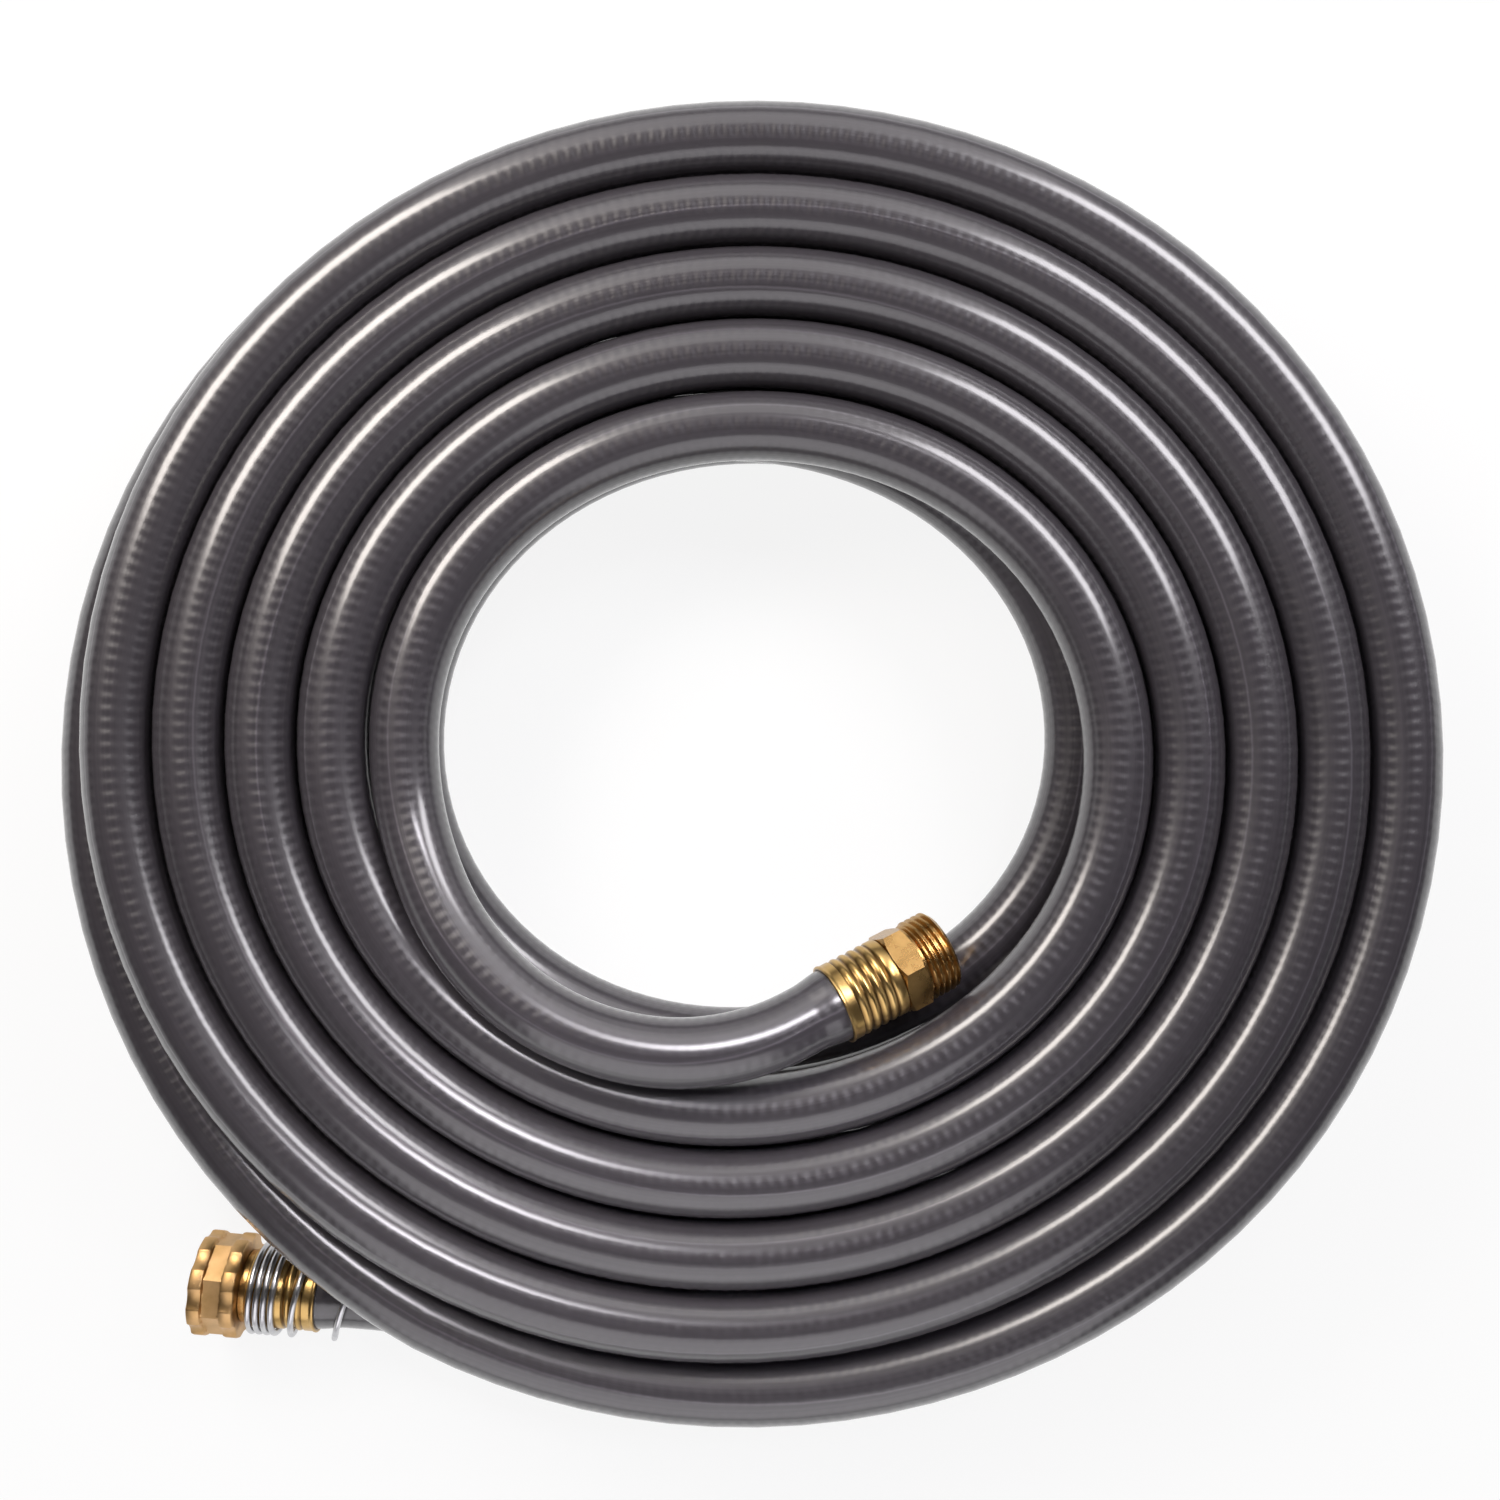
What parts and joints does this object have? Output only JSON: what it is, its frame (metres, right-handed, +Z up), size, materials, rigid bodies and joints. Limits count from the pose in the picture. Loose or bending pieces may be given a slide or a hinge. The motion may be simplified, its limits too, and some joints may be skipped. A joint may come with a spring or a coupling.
{
  "type": "rinse hose",
  "caption": "Grey rinse hose coiled flat, with a male threaded brass end and a female swivel nut with a spring strain relief.",
  "frame": {"origin": "on the ground, under the middle of the coil's outline", "axes": "+Z up, the coil's own axis; +X to the right and +Y to the far side as the coil is seen from above, with the female end at the near left"},
  "size_m": [0.4608, 0.4437, 0.0812],
  "materials": {
    "hose": "satin dark grey PVC",
    "brass": "bright machined brass",
    "ferrule_brass": "bright pressed brass",
    "nut_brass": "satin tumbled brass",
    "spring_steel": "drawn wire",
    "washer_rubber": "matt"
  },
  "bodies": {
    "hose": {"hose_coil": "hose", "hose_male_tail": "hose", "hose_female_tail": "hose", "male_hose_end": "hose", "female_hose_end": "hose", "male_nipple": "brass", "male_ferrule": "ferrule_brass", "female_tailpiece": "brass", "female_ferrule": "ferrule_brass", "strain_relief_spring": "spring_steel"},
    "swivel": {"swivel_nut": "nut_brass", "hose_washer": "washer_rubber"}
  },
  "joints": [
    {"name": "nut_swivel", "type": "hinge", "parent": "hose", "child": "swivel", "pos_m": [-0.17571, -0.18068, 0.0175], "axis": [-0.9962, 0.0872, 0], "continuous": true}
  ]
}
